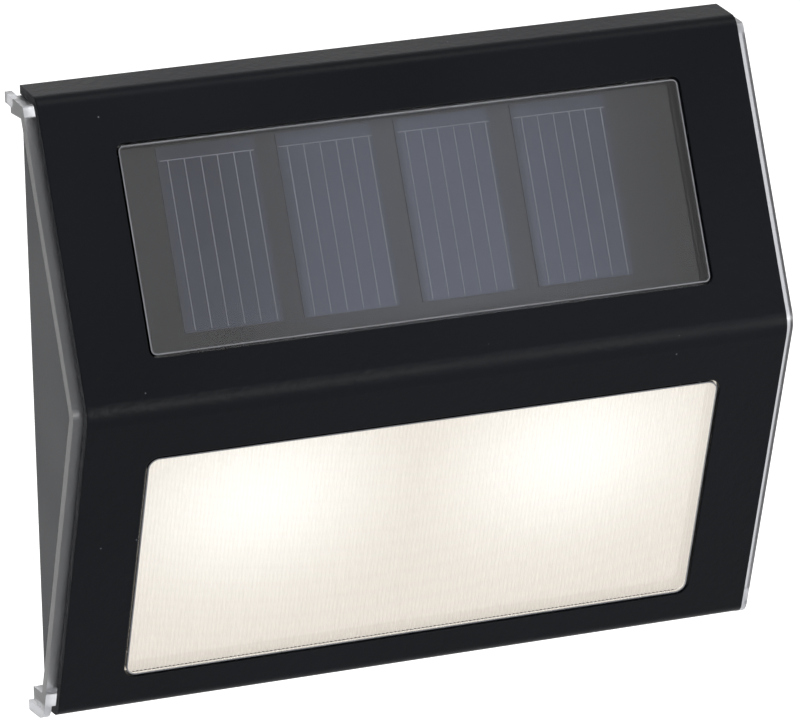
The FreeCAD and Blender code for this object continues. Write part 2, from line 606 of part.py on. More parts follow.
def led_board():
    half_x, half_z = LED_BOARD[0] / 2, LED_BOARD[1] / 2
    return wall_plate(-half_x, half_x, LED_Z - half_z, LED_Z + half_z, 1.0, LED_BOARD_BACK, LED_BOARD_FRONT)


def leds():
    """Two surface-mounted lamps, each a square body under a low dome."""
    lamps = []
    half_x, half_z = LED_BODY[0] / 2, LED_BODY[1] / 2
    for side in (-1, 1):
        x = side * LED_SPACING / 2
        body = wall_plate(x - half_x, x + half_x, LED_Z - half_z, LED_Z + half_z, 0.3, LED_BOARD_FRONT,
                          LED_BOARD_FRONT + LED_BODY[2])
        ball = Part.makeSphere(LED_DOME, at(x, LED_BOARD_FRONT + LED_BODY[2] - 0.2, LED_Z))
        dome = ball.common(rod(x, LED_Z, 2 * LED_DOME, LED_BOARD_FRONT + 0.2, FAR))
        lamps.append(joined([body, dome]))
    return Part.makeCompound(lamps)


# ---------------------------------------------------------------- circuit
def circuit_board():
    half_x, half_z = CIRCUIT_BOARD[0] / 2, CIRCUIT_BOARD[1] / 2
    back, z = CIRCUIT_AT
    board = wall_plate(-half_x, half_x, z - half_z, z + half_z, 1.0, back, CIRCUIT_FRONT)
    return board.cut([rod(side * BOARD_SCREW_X, z, 1.0, 0, FAR) for side in (-1, 1)])


def board_screw(x, z):
    """Small screw through the circuit board into its post."""
    head = rod(x, z, BOARD_SCREW[0], CIRCUIT_FRONT, CIRCUIT_FRONT + 1.0)
    return joined([head, rod(x, z, BOARD_SCREW[1], REAR_WALL + 0.4, CIRCUIT_FRONT + ROOT)])


def circuit_board_screws():
    return Part.makeCompound([board_screw(side * BOARD_SCREW_X, CIRCUIT_AT[1]) for side in (-1, 1)])


def on_board(x, z, width, height, tall, corner=0.3):
    """A block standing on the circuit board's front."""
    return wall_plate(x - width / 2, x + width / 2, z - height / 2, z + height / 2, corner, CIRCUIT_FRONT,
                      CIRCUIT_FRONT + tall)


def driver_chip():
    """Small outline chip with three legs a side."""
    x, z = CHIP_AT
    legs = [on_board(x + i * CHIP_LEG_PITCH, z + side * (CHIP_SIZE[1] / 2 + 0.45), 0.45, 1.4, 0.4, 0.0)
            for i in (-1, 0, 1) for side in (-1, 1)]
    return joined([on_board(x, z, *CHIP_SIZE)] + legs)


def inductor():
    """Drum inductor standing on the board."""
    x, z = COIL_AT
    flange, core, tall, thick = COIL
    top = CIRCUIT_FRONT + tall
    return joined([rod(x, z, flange, CIRCUIT_FRONT, CIRCUIT_FRONT + thick),
                   rod(x, z, core, CIRCUIT_FRONT, top), rod(x, z, flange, top - thick, top)])


def capacitor():
    return on_board(*CAPACITOR_AT, *CAPACITOR_SIZE, 0.2)


def resistors():
    x, z = RESISTOR_AT
    return Part.makeCompound([on_board(x + i * RESISTOR_PITCH, z, *RESISTOR_SIZE, 0.1)
                              for i in range(RESISTOR_COUNT)])


def power_switch_body():
    """Slide switch on the back of the board, with a channel for its slider."""
    x, z = SWITCH_AT
    half_x, half_z = SWITCH_BODY[0] / 2, SWITCH_BODY[1] / 2
    middle = x - SWITCH_TRAVEL / 2
    near = REAR_WALL + 0.1
    body = wall_plate(middle - half_x, middle + half_x, z - half_z, z + half_z, 0.3, near, CIRCUIT_AT[0])
    return body.cut(knob_way(0.2, near - 1, CIRCUIT_AT[0] - 0.8))


def power_switch_slider():
    """Ridged knob that shows in the rear wall's pocket; at rest it stands at the on end."""
    x, z = SWITCH_AT
    knob = wall_plate(x - KNOB[0] / 2, x + KNOB[0] / 2, z - KNOB[1] / 2, z + KNOB[1] / 2, 0.2, KNOB_SUNK,
                      CIRCUIT_AT[0] - 0.83)
    pitch, half, deep = KNOB_GROOVE
    grooves = [wall_plate(x + i * pitch - half, x + i * pitch + half, z - KNOB[1], z + KNOB[1], 0, 0,
                          KNOB_SUNK + deep) for i in (-1, 0, 1)]
    return knob.cut(grooves)


# ---------------------------------------------------------------- battery
def battery_cell():
    depth, z = BATTERY_AT
    nub_radius, nub_high = BATTERY_NUB
    can = Part.makeCylinder(BATTERY_DIAMETER / 2, BATTERY_LENGTH, at(BATTERY_LEFT + nub_high, depth, z),
                            Vector(1, 0, 0))
    rims = [e for e in can.Edges if len(e.Vertexes) == 1 or e.Closed]
    can = can.makeFillet(0.6, [e for e in rims if abs(e.BoundBox.XLength) < 1e-6])
    nub = Part.makeCylinder(nub_radius, nub_high + 1, at(BATTERY_LEFT, depth, z), Vector(1, 0, 0))
    return joined([can, nub])


def contact(x0, x1):
    """Flat spring-steel plate in the bay's end, with a tail through the bay's roof."""
    depth, z = BATTERY_AT
    half = CONTACT_BLADE / 2
    blade = Part.makeBox(x1 - x0, CONTACT_BLADE, CONTACT_BLADE, at(x0, depth + half, z - half))
    foot = half - 0.5
    tail = Part.makeBox(x1 - x0, CONTACT_TAIL, TAIL_TOP - foot, at(x0, depth + CONTACT_TAIL / 2, z + foot))
    return joined([blade, tail])


def battery_contact_plate():
    return contact(-BAY_LENGTH / 2, -BAY_LENGTH / 2 + CONTACT_THICK)


def battery_contact_spring():
    """Contact plate with a coil spring that presses on the cell's flat end."""
    depth, z = BATTERY_AT
    right = BAY_LENGTH / 2 - CONTACT_THICK
    cell_end = BATTERY_LEFT + BATTERY_NUB[1] + BATTERY_LENGTH
    length = right - cell_end - 2 * SPRING_WIRE
    coil = Part.makeHelix(length / SPRING_TURNS, length, SPRING_RADIUS)
    wire = Part.Wire(coil.Edges)
    ring = Part.makeCircle(SPRING_WIRE, Vector(SPRING_RADIUS, 0, 0), Vector(0, 1, 0))
    tube = wire.makePipeShell([Part.Wire([ring])], True, True)
    tube.Placement = Placement(at(right - SPRING_WIRE * 0.6, depth, z), Rotation(Vector(0, -1, 0), 90))
    return Part.makeCompound([joined([contact(right, BAY_LENGTH / 2), tube])])


def battery_door():
    """Flat door in the rear wall's recess, with two countersunk holes."""
    half_x, half_z = DOOR_SIZE[0] / 2, DOOR_SIZE[1] / 2
    z = BATTERY_AT[1]
    far = DOOR_SUNK + DOOR_THICK
    door = wall_plate(-half_x, half_x, z - half_z, z + half_z, DOOR_CORNER - DOOR_GAP, DOOR_SUNK, far)
    for side in (-1, 1):
        x = side * DOOR_SCREW_X
        door = door.cut(cone(x, z, DOOR_SCREW_HEAD + 0.05, 1.05, DOOR_SUNK - 0.01, DOOR_SUNK + 1.0))
        door = door.cut(rod(x, z, 1.05, 0, far + 1))
    return door


def battery_door_screws():
    """Countersunk screws that stay in the door."""
    z = BATTERY_AT[1]
    screws = []
    for side in (-1, 1):
        x = side * DOOR_SCREW_X
        head = cone(x, z, DOOR_SCREW_HEAD, 0.98, DOOR_SUNK + 0.02, DOOR_SUNK + 1.0)
        body = joined([head, rod(x, z, 0.85, DOOR_SUNK + 0.6, DOOR_LEDGE + PILOT_DEPTH - 0.4)])
        screws.append(body.cut(cross_recess(x, z, 1.0, 0.2, DOOR_SUNK + 0.6)))
    return Part.makeCompound(screws)


def battery_door_seal():
    """Soft ring between the door and the ledge."""
    half_x, half_z = SEAL_OUTLINE[0] / 2, SEAL_OUTLINE[1] / 2
    z = BATTERY_AT[1]
    near = DOOR_SUNK + DOOR_THICK
    far = DOOR_FLOOR - 0.05
    pad = wall_plate(-half_x, half_x, z - half_z, z + half_z, 1.5, near, far)
    hole_x, hole_z = half_x - SEAL_WIDTH, half_z - SEAL_WIDTH
    return pad.cut(wall_plate(-hole_x, hole_x, z - hole_z, z + hole_z, 0.8, near - 1, far + 1))


# ---------------------------------------------------------------- leads, held inside all the way
def solar_lead(x, down, board_x):
    """From the back of the solar panel down to the circuit board."""
    panel_back = PANEL_FRONT + PANEL_SIZE[2]
    start = UPPER.point(down, panel_back)
    out = UPPER.point(down, panel_back + 2.4)
    z = start[1] - 1.5
    return lead([at(x, *start), at(x, *out), at((x + board_x) / 2, CIRCUIT_FRONT + 3.2, z - 1.0),
                 at(board_x, CIRCUIT_FRONT + 2.4, z), at(board_x, CIRCUIT_FRONT, z)])


def battery_lead(side, board_x):
    """From a battery contact's tail up to the circuit board."""
    depth, z = BATTERY_AT
    x = side * (BAY_LENGTH / 2 - CONTACT_THICK / 2)
    top = z + TAIL_TOP
    end_z = CIRCUIT_AT[1] - 6.5
    return lead([at(x, depth, top), at(x, depth, top + 2.5), at((x + board_x) / 2, depth + 0.6, end_z),
                 at(board_x, CIRCUIT_FRONT + 2.2, end_z), at(board_x, CIRCUIT_FRONT, end_z)])


def led_lead(x, start_up, board_x, end_z):
    """From the lamp board through the tray's notch, past the battery bay and over to the circuit board."""
    z = LED_Z + start_up
    deep = LED_LEAD_DEPTH
    start = LED_LEAD_START
    return lead([at(start, LED_BOARD_FRONT, z), at(start, LED_BOARD_FRONT + 2.4, z), at(x, deep, z + 1.5),
                 at(x, deep + 0.4, z + 14.0), at(x, deep, end_z - 5.0),
                 at((x + board_x) / 2, deep - 1.4, end_z),
                 at(board_x, CIRCUIT_FRONT + 2.4, end_z), at(board_x, CIRCUIT_FRONT, end_z)])


PARTS = {
    "front_cover": front_cover,
    "clear_front_shell": clear_front_shell,
    "rear_housing": rear_housing,
    "housing_gasket": housing_gasket,
    "housing_screws": housing_screws,
    "solar_panel_frame": solar_panel_frame,
    "solar_panel_board": solar_panel_board,
    "solar_cells": solar_cells,
    "light_diffuser": light_diffuser,
    "light_tray": light_tray,
    "led_board": led_board,
    "leds": leds,
    "circuit_board": circuit_board,
    "circuit_board_screws": circuit_board_screws,
    "driver_chip": driver_chip,
    "inductor": inductor,
    "capacitor": capacitor,
    "resistors": resistors,
    "power_switch_body": power_switch_body,
    "power_switch_slider": power_switch_slider,
    "battery_cell": battery_cell,
    "battery_contact_plate": battery_contact_plate,
    "battery_contact_spring": battery_contact_spring,
    "battery_door": battery_door,
    "battery_door_seal": battery_door_seal,
    "battery_door_screws": battery_door_screws,
    "solar_lead_red": lambda: solar_lead(SOLAR_LEAD_X, SOLAR_LEAD_DOWN[0], 9.0),
    "solar_lead_black": lambda: solar_lead(SOLAR_LEAD_X, SOLAR_LEAD_DOWN[1], 8.0),
    "battery_lead_red": lambda: battery_lead(-1, -20.0),
    "battery_lead_black": lambda: battery_lead(1, 21.0),
    "led_lead_red": lambda: led_lead(LED_LEAD_X[0], 1.2, 17.5, 23.5),
    "led_lead_black": lambda: led_lead(LED_LEAD_X[1], -1.3, 17.5, 26.5),
}

os.makedirs("parts", exist_ok=True)
for name, make in PARTS.items():
    print(name)
    shape = make()
    if not shape.isValid():
        print("  NOT VALID")
    print("  solids", len(shape.Solids), "volume", round(shape.Volume, 1))
    shape.exportStep("parts/" + name + ".step")
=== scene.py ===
# %% [markdown]
# # Solar fence light
# The object is a small wall light: a folded black steel cover, a clear plastic shell whose rim
# shows at both ends, a grey plastic box behind it, a strip of solar cells above and a ribbed lit
# lens below. The solid parts come in ready made, so this lesson gives each of them its finish, adds
# the thin detail that a solid model leaves out, and lights the result on a plain pale floor.
# Everything is in metres: X runs to the right, Y into the wall, Z up, and the origin is the middle
# of the back.

# %% Load the parts
import json
import math

import bpy
import numpy as np
from mathutils import Matrix, Vector


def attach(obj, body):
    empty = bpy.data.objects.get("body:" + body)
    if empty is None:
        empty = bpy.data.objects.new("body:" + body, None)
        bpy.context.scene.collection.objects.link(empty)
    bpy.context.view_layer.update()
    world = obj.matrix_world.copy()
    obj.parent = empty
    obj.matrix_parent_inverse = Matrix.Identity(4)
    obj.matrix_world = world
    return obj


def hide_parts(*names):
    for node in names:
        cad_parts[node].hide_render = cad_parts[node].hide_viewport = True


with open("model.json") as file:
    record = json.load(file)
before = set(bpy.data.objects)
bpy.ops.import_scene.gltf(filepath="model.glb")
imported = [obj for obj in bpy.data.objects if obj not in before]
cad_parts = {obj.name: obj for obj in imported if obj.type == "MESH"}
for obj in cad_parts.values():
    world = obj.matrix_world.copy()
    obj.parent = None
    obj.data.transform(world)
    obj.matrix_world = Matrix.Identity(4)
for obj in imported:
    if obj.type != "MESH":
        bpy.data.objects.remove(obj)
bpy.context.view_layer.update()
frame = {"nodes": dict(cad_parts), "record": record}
MM = 0.001

# %% [markdown]
# ## Camera
# The picture was taken with a long lens from the upper left, so edges that run into the wall hardly
# converge. A camera can be aimed with an empty and a constraint, or its turn can be written down as
# three directions. The directions are used here: they were measured once, and they keep the slight
# roll of the picture.

# %% Camera
CAMERA_PLACE = Vector((-0.3672, -0.8797, 0.2586))
CAMERA_RIGHT = Vector((0.9188, -0.3941, -0.0238))
CAMERA_UP = Vector((0.1249, 0.2331, 0.9644))
CAMERA_LENS = 310.7
CAMERA_SENSOR = 36.0
CAMERA_NEAR, CAMERA_FAR = 0.05, 50.0       # metres

camera_data = bpy.data.cameras.new("camera")
camera_data.lens = CAMERA_LENS
camera_data.sensor_width = CAMERA_SENSOR
camera_data.clip_start = CAMERA_NEAR
camera_data.clip_end = CAMERA_FAR
camera = bpy.data.objects.new("camera", camera_data)
bpy.context.scene.collection.objects.link(camera)
backward = CAMERA_RIGHT.cross(CAMERA_UP)
turn = Matrix((CAMERA_RIGHT, CAMERA_UP, backward)).transposed()
camera.matrix_world = Matrix.Translation(CAMERA_PLACE) @ turn.to_4x4()
bpy.context.scene.camera = camera
print("camera looks along", [round(v, 3) for v in -backward])

# %% [markdown]
# ## Helpers for finishes
# A finish is a small tree of shader nodes. Two helpers keep the trees short: one turns a colour as
# a screen shows it into the linear value that Blender calculates with, and one adds a node together
# with its settings and its links. Patterns are placed by Object coordinates. Every piece sits at
# the origin, so one unit there is one metre, and a pattern that repeats every 2 mm has a scale of
# 500.


# %% Colour and node helpers
def linear(hex_colour):
    """sRGB to linear: v / 12.92 up to 0.04045, above it ((v + 0.055) / 1.055) to the power 2.4."""
    values = [int(hex_colour[i:i + 2], 16) / 255 for i in (1, 3, 5)]
    return [v / 12.92 if v <= 0.04045 else ((v + 0.055) / 1.055) ** 2.4 for v in values] + [1.0]


def add_node(tree, kind, settings=(), inputs=()):
    """Adds a shader node. Settings set properties; inputs set or link sockets by name or number."""
    made = tree.nodes.new(kind)
    for name, value in dict(settings).items():
        setattr(made, name, value)
    for name, value in dict(inputs).items():
        if isinstance(value, bpy.types.NodeSocket):
            tree.links.new(value, made.inputs[name])
        else:
            made.inputs[name].default_value = value
    return made


def start_finish(name):
    """A new material with an empty node tree, and the tree's Object coordinates."""
    material = bpy.data.materials.new(name)
    material.use_nodes = True
    tree = material.node_tree
    tree.nodes.clear()
    place = add_node(tree, "ShaderNodeTexCoord").outputs["Object"]
    return material, tree, place


def per_mm(size):
    """Scale of a pattern whose features are size millimetres apart."""
    return 1.0 / (size * MM)


print("mid grey is", round(linear("#808080")[0], 3))

# %% [markdown]
# ## Moulded and painted surfaces
# Most small parts are moulded, stamped or painted in one colour. On the real ones the colour is
# never quite even: it drifts a little over patches, the gloss drifts with it, and a fine grain lies
# over the surface. One function makes this family. It takes two close colours, the size of a patch,
# the size of the grain and how deep the grain is, all in millimetres, and each material below gets
# its own values.


# %% One function for moulded, stamped and painted parts
FINE_SHARE = 0.35                # how much the fine grain adds to the drift of colour
TONE_FROM, TONE_TO = 0.45, 0.95  # the sum of both noises lies between these
GLOSS_DRIFT = 0.05
RELIEF_STRENGTH = 0.6


def grained(name, dark, light, rough=0.5, patch=9.0, grain=0.35, relief=0.01, ior=1.5, level=0.5,
            metal=0.0, edge=0.12):
    """Colour goes from dark to light over patches, gloss drifts by a tenth, a noise gives relief."""
    material, tree, place = start_finish(name)
    patches = add_node(tree, "ShaderNodeTexNoise", {},
                       {"Vector": place, "Scale": per_mm(patch), "Detail": 2.0})
    fine = add_node(tree, "ShaderNodeTexNoise", {},
                    {"Vector": place, "Scale": per_mm(grain), "Detail": 1.5})
    both = add_node(tree, "ShaderNodeMath", {"operation": "MULTIPLY_ADD"},
                    {0: fine.outputs["Fac"], 1: FINE_SHARE, 2: patches.outputs["Fac"]})
    share = add_node(tree, "ShaderNodeMapRange", {}, {0: both.outputs[0], 1: TONE_FROM, 2: TONE_TO})
    colour = add_node(tree, "ShaderNodeMix", {"data_type": "RGBA"},
                      {0: share.outputs[0], 6: linear(dark), 7: linear(light)})
    gloss = add_node(tree, "ShaderNodeMapRange", {},
                     {0: patches.outputs["Fac"], 1: 0.3, 2: 0.7, 3: rough - GLOSS_DRIFT,
                      4: rough + GLOSS_DRIFT})
    soft_edge = add_node(tree, "ShaderNodeBevel", {"samples": 4}, {"Radius": edge * MM})
    bump = add_node(tree, "ShaderNodeBump", {}, {"Strength": RELIEF_STRENGTH, "Distance": relief * MM,
                                                 "Height": fine.outputs["Fac"],
                                                 "Normal": soft_edge.outputs[0]})
    surface = add_node(tree, "ShaderNodeBsdfPrincipled", {},
                       {"Base Color": colour.outputs[2], "Roughness": gloss.outputs[0],
                        "Normal": bump.outputs[0], "Metallic": metal})
    if metal < 0.5:
        surface.inputs["IOR"].default_value = ior
        surface.inputs["Specular IOR Level"].default_value = level
    add_node(tree, "ShaderNodeOutputMaterial", {}, {"Surface": surface.outputs[0]})
    print(name, dark, "to", light)
    return material


finishes = {}

# %% [markdown]
# ## Black powder-coated steel
# The cover is sheet steel, folded and then sprayed with black powder that melts in an oven. The
# film flows into a faint orange peel, rounds off at the cut edges, and holds a few dust specks that
# catch the light. It is a dielectric film, not bare metal, and a soft one: it mirrors little from
# straight on and much at a slant. A noise gives the peel, and a sparse field of Voronoi cells gives
# the specks.

# %% Powder coat
PEEL_MM = 1.3        # real peel is about this wide
PEEL_DEPTH = 0.06 * MM
HAZE_MM = 34.0       # colour and gloss drift over patches of this size
SPECK_MM = 2.6       # mean distance between possible specks
SPECK_RIM, SPECK_CORE = 0.055, 0.03      # a speck's outer and inner radius, as shares of SPECK_MM
SPECK_ABOVE = 0.72   # a cell whose random number is above this has a speck
EDGE_ROUND = 0.3 * MM
GLOSS_LOW, GLOSS_HIGH = 0.36, 0.44

material, tree, place = start_finish("black_powder_coat")
peel = add_node(tree, "ShaderNodeTexNoise", {},
                {"Vector": place, "Scale": per_mm(PEEL_MM), "Detail": 2.5,
                 "Roughness": 0.6})
haze = add_node(tree, "ShaderNodeTexNoise", {},
                {"Vector": place, "Scale": per_mm(HAZE_MM), "Detail": 1.0})
specks = add_node(tree, "ShaderNodeTexVoronoi", {"feature": "F1"},
                  {"Vector": place, "Scale": per_mm(SPECK_MM)})
dot = add_node(tree, "ShaderNodeMapRange", {},
               {0: specks.outputs["Distance"], 1: SPECK_RIM, 2: SPECK_CORE})
chance = add_node(tree, "ShaderNodeSeparateColor", {}, {0: specks.outputs["Color"]})
rare = add_node(tree, "ShaderNodeMath", {"operation": "GREATER_THAN"},
                {0: chance.outputs[0], 1: SPECK_ABOVE})
speck = add_node(tree, "ShaderNodeMath", {"operation": "MULTIPLY"},
                 {0: dot.outputs[0], 1: rare.outputs[0]})
film = add_node(tree, "ShaderNodeMix", {"data_type": "RGBA"},
                {0: haze.outputs["Fac"], 6: linear("#05070b"), 7: linear("#0a0c11")})
dusty = add_node(tree, "ShaderNodeMix", {"data_type": "RGBA"},
                 {0: speck.outputs[0], 6: film.outputs[2], 7: linear("#5c5f66")})
gloss = add_node(tree, "ShaderNodeMapRange", {},
                 {0: haze.outputs["Fac"], 1: 0.3, 2: 0.7, 3: GLOSS_LOW, 4: GLOSS_HIGH})
soft_edge = add_node(tree, "ShaderNodeBevel", {"samples": 6}, {"Radius": EDGE_ROUND})
bump = add_node(tree, "ShaderNodeBump", {},
                {"Strength": 1.0, "Distance": PEEL_DEPTH, "Height": peel.outputs["Fac"],
                 "Normal": soft_edge.outputs[0]})
coat = add_node(tree, "ShaderNodeBsdfPrincipled", {},
                {"Base Color": dusty.outputs[2], "Roughness": gloss.outputs[0],
                 "Normal": bump.outputs[0]})
coat.inputs["IOR"].default_value = 1.5
coat.inputs["Specular IOR Level"].default_value = 0.07
add_node(tree, "ShaderNodeOutputMaterial", {}, {"Surface": coat.outputs[0]})
finishes["black_coated_steel"] = material
print(material.name, len(tree.nodes), "nodes")

# %% [markdown]
# ## Clear polycarbonate
# The shell behind the cover is one clear moulding: two flat window pads, and a rim that shows as a
# grey line at each end. Clear plastic could be faked with a see-through colour, but then the rim
# would vanish. Real refraction carries the light round inside the rim, which makes its edges
# bright. The rim is also greyer and less polished than the windows, so its colour and roughness
# change near both ends.

# %% Clear plastic
RIM_START, RIM_FULL = 53.0 * MM, 53.4 * MM       # measured from the middle to either side
RIM_ROUGHNESS = 0.3
FLOW_MM = 16.0       # the moulding ripples over this distance
RIPPLE_DEPTH = 0.02 * MM
ROUGHEST = 0.008     # the windows are almost perfectly polished

material, tree, place = start_finish("clear_polycarbonate")
flow = add_node(tree, "ShaderNodeTexNoise", {},
                {"Vector": place, "Scale": per_mm(FLOW_MM), "Detail": 0.0})
ripple = add_node(tree, "ShaderNodeBump", {},
                  {"Strength": 0.25, "Distance": RIPPLE_DEPTH, "Height": flow.outputs["Fac"]})
polish = add_node(tree, "ShaderNodeMapRange", {},
                  {0: flow.outputs["Fac"], 1: 0.3, 2: 0.7, 3: 0.0, 4: ROUGHEST})
parts = add_node(tree, "ShaderNodeSeparateXYZ", {}, {0: place})
across = add_node(tree, "ShaderNodeMath", {"operation": "ABSOLUTE"}, {0: parts.outputs["X"]})
rim = add_node(tree, "ShaderNodeMapRange", {}, {0: across.outputs[0], 1: RIM_START, 2: RIM_FULL})
tint = add_node(tree, "ShaderNodeMix", {"data_type": "RGBA"},
                {0: rim.outputs[0], 6: linear("#eeeff1"), 7: linear("#b4b5b9")})
matt_rim = add_node(tree, "ShaderNodeMath", {"operation": "MULTIPLY_ADD"},
                    {0: rim.outputs[0], 1: RIM_ROUGHNESS, 2: polish.outputs[0]})
clear = add_node(tree, "ShaderNodeBsdfPrincipled", {},
                 {"Base Color": tint.outputs[2], "Roughness": matt_rim.outputs[0],
                  "Normal": ripple.outputs[0]})
clear.inputs["Specular IOR Level"].default_value = 0.1
clear.inputs["Transmission Weight"].default_value = 1.0
clear.inputs["IOR"].default_value = 1.49
add_node(tree, "ShaderNodeOutputMaterial", {}, {"Surface": clear.outputs[0]})
finishes["clear_plastic"] = material
print(material.name, len(tree.nodes), "nodes")

# %% [markdown]
# ## Grey ABS
# The rear box is dark grey ABS, moulded in a tool with a fine spark-eroded texture. It looks dry
# and even, with a dull sheen at a slant. Two grains are used: the eroded pits, and slow patches
# where the plastic flowed.

# %% Rear housing and battery door
finishes["grey_abs"] = grained("grey_abs", "#38393b", "#414244", rough=0.6, patch=14.0, grain=0.4,
                               relief=0.03, level=0.25, edge=0.25)

# %% [markdown]
# ## Solar strip
# The panel is a thin board under resin. A painted reflection makes the dark backing and the blue-grey
# cells both lighter around the middle and darker at the ends. A cell is also a little lighter towards
# its lower edge, which is painted light as well, and its side edges fade into the backing. The colour
# follows the place on the board, so one material serves four cells.

# %% Panel backing and silicon
CELL_PITCH = 17.9 * MM
CELL_WIDTH = 14.8 * MM
FIRST_CELL = -2.3 * MM - 1.5 * CELL_PITCH      # middle of the leftmost cell

REFLECTION_MIDDLE = 5.0 * MM       # the painted reflection is brightest here
REFLECTION_REACH = 34.0 * MM       # and has faded out this far away
STREAK_MM = 18.0
CLOUD_MM = 9.0
FADE = 1.1 * MM              # the width over which a cell's side edge fades
CELL_TOP, CELL_END = 0.036, 0.012        # heights between which a cell gets lighter, as painted light
# The backing goes towards the light colour where the painted reflection is strongest.
BACKING_DARK = "#0e0e11"
BACKING_LIGHT = "#43454d"


def painted_reflection_over(tree, place):
    """Painted reflection = 1 - ((x - middle) / reach) squared, and never below 0."""
    parts = add_node(tree, "ShaderNodeSeparateXYZ", {}, {0: place})
    away = add_node(tree, "ShaderNodeMapRange", {"clamp": False},
                    {0: parts.outputs["X"], 1: REFLECTION_MIDDLE, 2: REFLECTION_MIDDLE + REFLECTION_REACH})
    square = add_node(tree, "ShaderNodeMath", {"operation": "MULTIPLY"},
                      {0: away.outputs[0], 1: away.outputs[0]})
    left = add_node(tree, "ShaderNodeMath", {"operation": "SUBTRACT", "use_clamp": True},
                    {0: 1.0, 1: square.outputs[0]})
    return parts, left.outputs[0]


material, tree, place = start_finish("resin_backing")
parts, painted_reflection_share = painted_reflection_over(tree, place)
streak = add_node(tree, "ShaderNodeTexNoise", {},
                  {"Vector": place, "Scale": per_mm(STREAK_MM), "Detail": 1.0})
# How light the backing is: the painted reflection plus a random streak.
amount = add_node(tree, "ShaderNodeMath", {"operation": "MULTIPLY_ADD"},
                  {0: streak.outputs["Fac"], 1: 0.3, 2: painted_reflection_share})
share = add_node(tree, "ShaderNodeMapRange", {}, {0: amount.outputs[0], 1: 0.1, 2: 1.2})
backing_colour = add_node(tree, "ShaderNodeMix", {"data_type": "RGBA"},
                          {0: share.outputs[0], 6: linear(BACKING_DARK), 7: linear(BACKING_LIGHT)})
backing = add_node(tree, "ShaderNodeBsdfPrincipled", {},
                   {"Base Color": backing_colour.outputs[2], "Roughness": 0.5})
backing.inputs["IOR"].default_value = 1.5
backing.inputs["Specular IOR Level"].default_value = 0.05
add_node(tree, "ShaderNodeOutputMaterial", {}, {"Surface": backing.outputs[0]})
finishes["panel_backing"] = material
print(material.name, len(tree.nodes), "nodes")

material, tree, place = start_finish("silicon_cells")
parts, painted_reflection_share = painted_reflection_over(tree, place)
# Painted light: a cell gets lighter towards its lower edge and, with the painted reflection, towards the
# middle.
painted_lower_light = add_node(tree, "ShaderNodeMapRange", {},
                {0: parts.outputs["Z"], 1: CELL_TOP, 2: CELL_END, 3: 0.0, 4: 0.25})
cloud = add_node(tree, "ShaderNodeTexNoise", {},
                 {"Vector": place, "Scale": per_mm(CLOUD_MM), "Detail": 1.0})
share = add_node(tree, "ShaderNodeMath", {"operation": "MULTIPLY_ADD"},
                 {0: cloud.outputs["Fac"], 1: 0.2, 2: painted_lower_light.outputs[0]})
share = add_node(tree, "ShaderNodeMath", {"operation": "MULTIPLY_ADD"},
                 {0: painted_reflection_share, 1: 0.7, 2: share.outputs[0]})
blue = add_node(tree, "ShaderNodeMix", {"data_type": "RGBA"},
                {0: share.outputs[0], 6: linear("#191f32"), 7: linear("#545969")})
from_left = add_node(tree, "ShaderNodeMath", {"operation": "SUBTRACT"},
                     {0: parts.outputs["X"], 1: FIRST_CELL - CELL_WIDTH / 2})
in_cell = add_node(tree, "ShaderNodeMath", {"operation": "FLOORED_MODULO"},
                   {0: from_left.outputs[0], 1: CELL_PITCH})
to_right = add_node(tree, "ShaderNodeMath", {"operation": "SUBTRACT"},
                    {0: CELL_WIDTH, 1: in_cell.outputs[0]})
nearest = add_node(tree, "ShaderNodeMath", {"operation": "MINIMUM"},
                   {0: in_cell.outputs[0], 1: to_right.outputs[0]})
inside = add_node(tree, "ShaderNodeMapRange", {"interpolation_type": "SMOOTHSTEP"},
                  {0: nearest.outputs[0], 1: 0.0, 2: FADE, 3: 0.4, 4: 1.0})
faded = add_node(tree, "ShaderNodeMix", {"data_type": "RGBA"},
                 {0: inside.outputs[0], 6: linear("#2c2e37"), 7: blue.outputs[2]})
silicon = add_node(tree, "ShaderNodeBsdfPrincipled", {},
                   {"Base Color": faded.outputs[2], "Roughness": 0.4})
silicon.inputs["IOR"].default_value = 1.5
silicon.inputs["Specular IOR Level"].default_value = 0.05
add_node(tree, "ShaderNodeOutputMaterial", {}, {"Surface": silicon.outputs[0]})
finishes["silicon_cells"] = material
print(material.name, len(tree.nodes), "nodes")

finishes["printed_silver"] = grained("printed_silver", "#74777f", "#8b8e98", rough=0.45, patch=5.0,
                                     grain=0.3, relief=0.004, metal=1.0)

# %% [markdown]
# ## Lit lens
# The lens is opal acrylic with fine upright ribs, and two small lamps shine through it. Each lamp
# makes a soft bright patch, and the edges stay warmer and a little darker. The glow is worked out
# from the distance to each lamp, so it belongs to the lens and not to the camera.

# %% Lit opal acrylic
LAMP_X = 24.0 * MM
LAMP_Z = -13.5 * MM
SPREAD_X = 18.0 * MM
SPREAD_Z = 13.5 * MM
LAMPS_LEFT = 1.5 * MM       # the glow sits this far left of the middle
GLOW_FALL = 0.42            # the glow falls to this share one spread away
EDGE_POWER, LAMP_POWER = 0.9, 1.04

